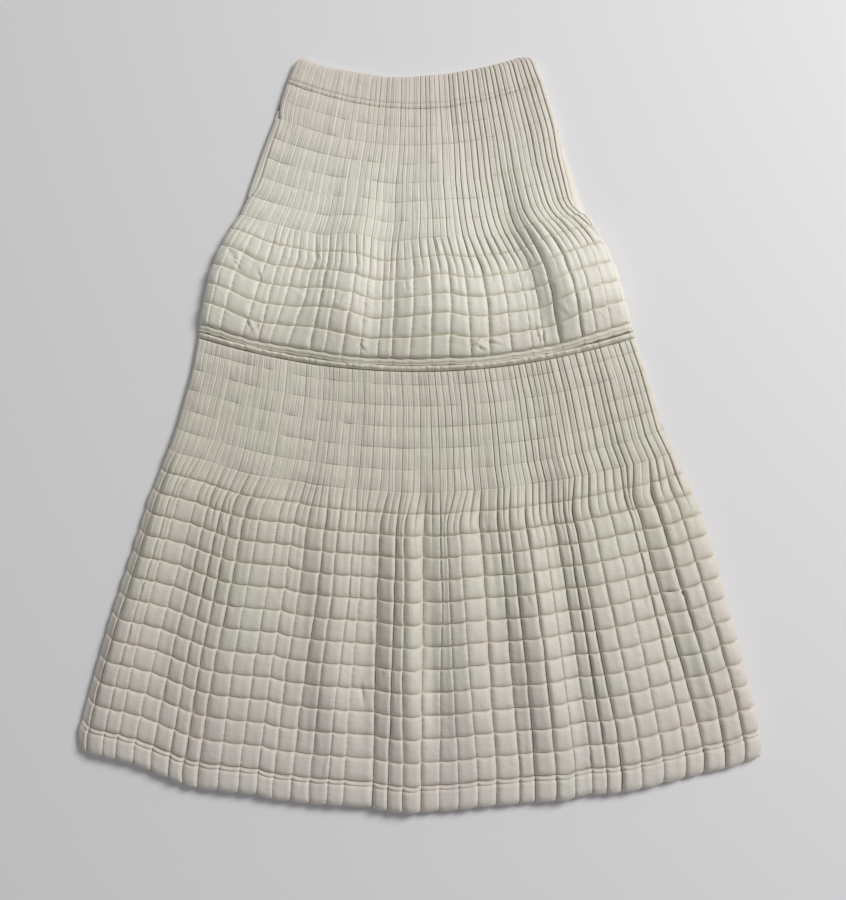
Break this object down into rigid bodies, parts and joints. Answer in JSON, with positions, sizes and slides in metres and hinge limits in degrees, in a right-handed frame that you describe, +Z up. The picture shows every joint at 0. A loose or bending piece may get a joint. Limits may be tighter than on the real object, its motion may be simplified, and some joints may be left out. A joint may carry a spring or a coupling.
{
  "type": "pleated skirt",
  "caption": "Long tiered skirt of quilted cloth with heat-set pleats, a pleated waist casing, a welted tier seam and a flared hem, laid flat",
  "frame": {"origin": "centre of the lying skirt's footprint, on the surface that it lies on", "axes": "+Z up from the surface, the waist towards +Y and the hem towards -Y, +X to the right as the front is seen"},
  "size_m": [0.73, 0.8859, 0.0241],
  "materials": {
    "quilted_cloth": "smooth stone-coloured woven cloth with a soft satin sheen, quilted over thin wadding and heat-set in pleats",
    "welt_cloth": "the same stone-coloured cloth, cut as a narrow rolled welt"
  },
  "bodies": {
    "root": {"waistband_front": "quilted_cloth", "waistband_back": "quilted_cloth", "upper_tier_front": "quilted_cloth", "upper_tier_back": "quilted_cloth", "pocket_facing_left": "quilted_cloth", "pocket_facing_right": "quilted_cloth", "tier_welt_front": "welt_cloth", "tier_welt_back": "welt_cloth", "lower_tier_front": "quilted_cloth", "lower_tier_back": "quilted_cloth"}
  },
  "joints": []
}
